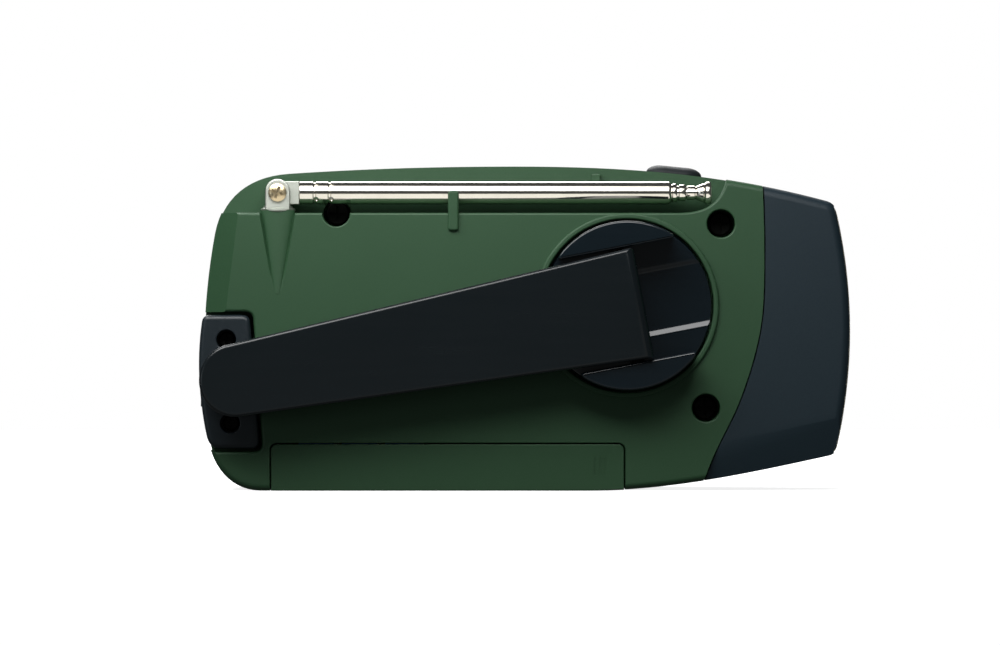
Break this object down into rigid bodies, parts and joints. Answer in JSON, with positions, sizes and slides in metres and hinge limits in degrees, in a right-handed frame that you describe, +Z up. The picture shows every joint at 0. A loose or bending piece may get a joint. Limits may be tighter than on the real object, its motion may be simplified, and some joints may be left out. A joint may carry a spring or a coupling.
{
  "type": "emergency radio",
  "caption": "Portable hand-crank emergency radio with flashlight end, folded crank arm, stowed telescopic antenna, speaker, tuning dial and battery bay.",
  "frame": {"origin": "centre of the bounding box in plan, at the surface that the radio stands on", "axes": "+X to the end opposite the flashlight, along the long edge; +Y out of the back, where the crank is; +Z up"},
  "size_m": [0.1473, 0.048, 0.0742],
  "materials": {
    "green_plastic": "fine moulded texture",
    "cap_plastic": "satin moulded",
    "gloss_black": "polished mould",
    "block_plastic": "satin moulded",
    "clear_plastic": "clear moulded",
    "reflector_chrome": "vacuum metallised",
    "led_resin": "clear resin",
    "board_laminate": "solder mask",
    "solar_silicon": "laminated cell",
    "grille_plastic": "satin moulded",
    "speaker_steel": "pressed",
    "cone_paper": "doped paper",
    "dial_card": "printed",
    "pointer_red": "moulded",
    "cell_sleeve": "shrink sleeve",
    "connector_nylon": "moulded",
    "screw_steel": "zinc plated",
    "nickel": "nickel plated",
    "gear_nylon": "moulded",
    "bracket_steel": "pressed",
    "rotor_magnet": "ground",
    "switch_plastic": "moulded",
    "ferrite": "sintered",
    "coil_copper": "enamelled wire",
    "button_rubber": "moulded",
    "flap_rubber": "moulded"
  },
  "bodies": {
    "housing": {"back_shell": "green_plastic", "front_shell": "green_plastic", "end_cap": "cap_plastic", "strap_block": "block_plastic", "flashlight_lens": "clear_plastic", "flashlight_reflector": "reflector_chrome", "led_1": "led_resin", "led_2": "led_resin", "led_3": "led_resin", "led_board": "board_laminate", "solar_window": "clear_plastic", "solar_cell": "solar_silicon", "speaker_grille": "grille_plastic", "speaker": "speaker_steel", "speaker_cone": "cone_paper", "dial_window": "clear_plastic", "dial_scale": "dial_card", "charge_led": "pointer_red", "button_switch": "switch_plastic", "main_board": "board_laminate", "tuning_capacitor": "connector_nylon", "volume_pot": "bracket_steel", "band_switch": "bracket_steel", "ferrite_rod": "ferrite", "ferrite_coil": "coil_copper", "usb_socket": "screw_steel", "dc_socket": "switch_plastic", "phone_socket": "switch_plastic", "battery_box": "switch_plastic", "battery_pack": "cell_sleeve", "battery_connector": "connector_nylon", "idler_shaft": "screw_steel", "gearbox_plate": "bracket_steel", "generator_case": "bracket_steel", "housing_screw_1": "screw_steel", "housing_screw_2": "screw_steel", "housing_screw_3": "screw_steel", "block_screw_1": "screw_steel", "block_screw_2": "screw_steel"},
    "crank": {"crank_rotor": "gloss_black", "crank_gear": "gear_nylon", "arm_pin": "screw_steel"},
    "arm": {"crank_arm": "gloss_black"},
    "knob_pivot": {"knob_stem": "screw_steel"},
    "knob": {"crank_knob": "gloss_black"},
    "idler": {"idler_gear": "gear_nylon"},
    "generator": {"generator_rotor": "rotor_magnet"},
    "antenna_swivel_base": {"antenna_base": "nickel", "antenna_screw": "nickel"},
    "antenna_1": {"antenna_tube_1": "nickel"},
    "antenna_2": {"antenna_tube_2": "nickel"},
    "antenna_3": {"antenna_tube_3": "nickel"},
    "antenna_4": {"antenna_tube_4": "nickel"},
    "light_button": {"light_button": "button_rubber"},
    "tuning_knob": {"tuning_knob": "block_plastic"},
    "dial_pointer": {"dial_pointer": "pointer_red"},
    "volume_knob": {"volume_knob": "block_plastic"},
    "band_slider": {"band_slider": "block_plastic"},
    "battery_door": {"battery_door": "green_plastic"},
    "port_cover": {"port_cover": "flap_rubber"}
  },
  "joints": [
    {"name": "crank_spin", "type": "hinge", "parent": "housing", "child": "crank", "pos_m": [-0.02289, 0.011, 0.0418], "axis": [0, 1, 0], "continuous": true},
    {"name": "arm_fold", "type": "hinge", "parent": "crank", "child": "arm", "pos_m": [-0.02289, 0.01915, 0.0418], "axis": [0.1874, 0, 0.9823], "range_deg": [0, 180]},
    {"name": "knob_fold", "type": "hinge", "parent": "arm", "child": "knob_pivot", "pos_m": [0.06699, 0.0183, 0.02465], "axis": [0.1874, 0, 0.9823], "range_deg": [0, 90]},
    {"name": "knob_spin", "type": "hinge", "parent": "knob_pivot", "child": "knob", "pos_m": [0.06699, 0.0183, 0.02465], "axis": [0.9823, 0, -0.1874], "continuous": true},
    {"name": "idler_spin", "type": "hinge", "parent": "housing", "child": "idler", "pos_m": [-0.00129, 0, 0.0418], "axis": [0, 1, 0], "continuous": true},
    {"name": "generator_spin", "type": "hinge", "parent": "housing", "child": "generator", "pos_m": [0.01711, 0, 0.0418], "axis": [0, 1, 0], "continuous": true},
    {"name": "antenna_swivel", "type": "hinge", "parent": "housing", "child": "antenna_swivel_base", "pos_m": [0.05596, 0.009, 0.063], "axis": [0, 0, 1], "range_deg": [-45, 0]},
    {"name": "antenna_tilt", "type": "hinge", "parent": "antenna_swivel_base", "child": "antenna_1", "pos_m": [0.05596, 0.009, 0.06735], "axis": [0, 1, 0], "range_deg": [0, 90]},
    {"name": "antenna_draw_2", "type": "slide", "parent": "antenna_1", "child": "antenna_2", "axis": [-1, 0, 0], "range_m": [0, 0.07]},
    {"name": "antenna_draw_3", "type": "slide", "parent": "antenna_2", "child": "antenna_3", "axis": [-1, 0, 0], "range_m": [0, 0.07]},
    {"name": "antenna_draw_4", "type": "slide", "parent": "antenna_3", "child": "antenna_4", "axis": [-1, 0, 0], "range_m": [0, 0.07]},
    {"name": "light_press", "type": "slide", "parent": "housing", "child": "light_button", "axis": [0, 0, -1], "range_m": [0, 0.0008], "stiffness_N_per_m": 600},
    {"name": "tuning_turn", "type": "hinge", "parent": "housing", "child": "tuning_knob", "pos_m": [-0.03129, -0.022, 0.03], "axis": [0, 1, 0], "range_deg": [-150, 150]},
    {"name": "pointer_travel", "type": "slide", "parent": "housing", "child": "dial_pointer", "axis": [1, 0, 0], "range_m": [-0.02, 0.02]},
    {"name": "volume_turn", "type": "hinge", "parent": "housing", "child": "volume_knob", "pos_m": [-0.00529, -0.022, 0.027], "axis": [0, 1, 0], "range_deg": [0, 270]},
    {"name": "band_slide", "type": "slide", "parent": "housing", "child": "band_slider", "axis": [1, 0, 0], "range_m": [-0.0035, 0.0035]},
    {"name": "door_slide", "type": "slide", "parent": "housing", "child": "battery_door", "axis": [0, 1, 0], "range_m": [0, 0.035]},
    {"name": "cover_open", "type": "hinge", "parent": "housing", "child": "port_cover", "pos_m": [0.07281, -0.006, 0.032], "axis": [0, 0, 1], "range_deg": [0, 110]}
  ],
  "couplings": [
    {"joint": "knob_fold", "follows": "arm_fold", "ratio": 0.5},
    {"joint": "idler_spin", "follows": "crank_spin", "ratio": -3.5},
    {"joint": "generator_spin", "follows": "crank_spin", "ratio": 12.6},
    {"joint": "antenna_swivel", "follows": "antenna_tilt", "ratio": -0.5},
    {"joint": "antenna_draw_2", "follows": "antenna_tilt", "m_per_rad": 0.0445},
    {"joint": "antenna_draw_3", "follows": "antenna_tilt", "m_per_rad": 0.0445},
    {"joint": "antenna_draw_4", "follows": "antenna_tilt", "m_per_rad": 0.0445},
    {"joint": "pointer_travel", "follows": "tuning_turn", "m_per_rad": 0.0076}
  ]
}
